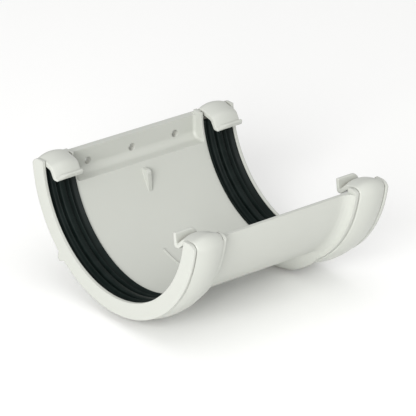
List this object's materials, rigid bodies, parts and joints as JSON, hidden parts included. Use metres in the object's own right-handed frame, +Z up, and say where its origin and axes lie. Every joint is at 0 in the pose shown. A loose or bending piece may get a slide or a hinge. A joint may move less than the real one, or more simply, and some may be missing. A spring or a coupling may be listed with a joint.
{
  "type": "gutter union",
  "caption": "Half-round gutter union with two sealed sockets, clip-over retaining straps and a recessed screw plate for the fascia.",
  "frame": {"origin": "middle screw hole, on the flat back of the plate that meets the fascia board", "axes": "+X along the gutter, +Y towards the fascia board, +Z up"},
  "size_m": [0.1234, 0.1328, 0.0672],
  "materials": {
    "pvc_body": "moulded, soft gloss",
    "pvc_strap": "moulded, soft gloss",
    "epdm_seal": "moulded, matt sheen"
  },
  "bodies": {
    "root": {"union_body": "pvc_body", "seal_left": "epdm_seal", "seal_right": "epdm_seal", "strap_left": "pvc_strap", "strap_right": "pvc_strap"}
  },
  "joints": []
}
